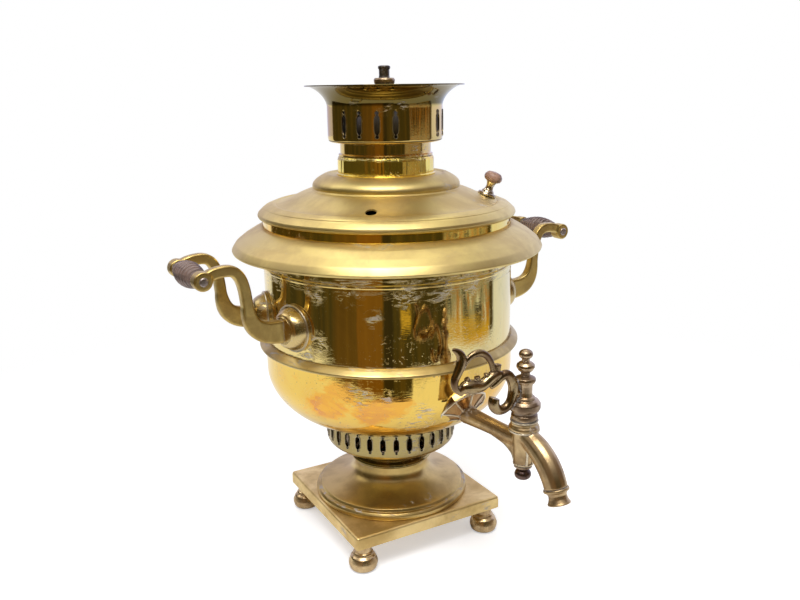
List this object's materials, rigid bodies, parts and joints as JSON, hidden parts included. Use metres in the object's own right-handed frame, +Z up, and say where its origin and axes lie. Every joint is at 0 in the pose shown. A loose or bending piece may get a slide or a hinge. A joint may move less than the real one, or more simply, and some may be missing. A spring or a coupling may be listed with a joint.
{
  "type": "samovar",
  "caption": "Charcoal-fired brass samovar on a square footed plate, with a round body, lid, crown, side handles with turned grips and a plug tap.",
  "frame": {"origin": "under the middle of the bounding box, at the level on which the feet stand; the round body's axis is 44.4 mm from it to +Y", "axes": "+Z up; the tap points to -Y; the handles stand to -X and +X, turned 3 degrees clockwise from above"},
  "size_m": [0.3888, 0.3654, 0.43],
  "materials": {
    "polished_brass": "polished, with dried polish in the creases",
    "satin_brass": "satin, softly worn",
    "aged_brass": "aged, brown in the hollows",
    "cast_iron": "rough casting",
    "dark_metal": "blackened",
    "knob_wood": "varnished, worn",
    "grip_wood": "turned rings, greyed"
  },
  "bodies": {
    "root": {"base_plate": "satin_brass", "foot_front_left": "aged_brass", "foot_front_right": "aged_brass", "foot_rear_left": "aged_brass", "foot_rear_right": "aged_brass", "pedestal": "satin_brass", "pedestal_stem": "satin_brass", "neck_ring": "polished_brass", "air_gallery": "polished_brass", "fire_grate": "cast_iron", "grate_ring": "aged_brass", "fire_tube": "aged_brass", "fire_cone": "aged_brass", "chimney_pipe": "aged_brass", "bowl_floor": "polished_brass", "bowl_turn": "polished_brass", "lower_bowl": "polished_brass", "waist_band": "polished_brass", "body_wall": "polished_brass", "shoulder_under": "satin_brass", "shoulder_ring": "satin_brass", "collar_band": "polished_brass", "rosette_left_front": "polished_brass", "rosette_left_rear": "polished_brass", "rosette_right_front": "polished_brass", "rosette_right_rear": "polished_brass", "arm_left_front": "aged_brass", "arm_left_rear": "aged_brass", "arm_right_front": "aged_brass", "arm_right_rear": "aged_brass", "arm_nuts": "aged_brass", "grip_rod_left": "aged_brass", "grip_rod_right": "aged_brass", "tap_flange": "aged_brass", "tap_body": "aged_brass", "tap_nozzle": "aged_brass"},
    "lid": {"lid_rim": "satin_brass", "lid": "satin_brass", "lid_bulge": "satin_brass", "lid_neck": "polished_brass", "knob_base": "aged_brass", "knob_head": "knob_wood", "knob_nut": "aged_brass"},
    "crown": {"crown_neck": "polished_brass", "crown_floor": "polished_brass", "crown_drum": "polished_brass", "crown_rim": "polished_brass"},
    "cap": {"chimney_cap": "satin_brass", "cap_knob": "aged_brass"},
    "tap_key": {"tap_plug": "aged_brass", "tap_finial": "aged_brass", "tap_branch": "aged_brass", "tap_washer": "aged_brass", "tap_nut": "dark_metal"},
    "left_grip": {"grip_left": "grip_wood"},
    "right_grip": {"grip_right": "grip_wood"}
  },
  "joints": [
    {"name": "lid_lift", "type": "slide", "parent": "root", "child": "lid", "axis": [0, 0, 1], "range_m": [0, 0.08]},
    {"name": "crown_lift", "type": "slide", "parent": "lid", "child": "crown", "axis": [0, 0, 1], "range_m": [0, 0.06]},
    {"name": "cap_lift", "type": "slide", "parent": "crown", "child": "cap", "axis": [0, 0, 1], "range_m": [0, 0.06]},
    {"name": "tap_turn", "type": "hinge", "parent": "root", "child": "tap_key", "pos_m": [0, -0.13559, 0.15], "axis": [0, 0, 1], "continuous": true},
    {"name": "left_grip_spin", "type": "hinge", "parent": "root", "child": "left_grip", "pos_m": [-0.18375, 0.05404, 0.271], "axis": [0.0523, 0.9986, 0], "continuous": true},
    {"name": "right_grip_spin", "type": "hinge", "parent": "root", "child": "right_grip", "pos_m": [0.18375, 0.03478, 0.271], "axis": [0.0523, 0.9986, 0], "continuous": true}
  ]
}
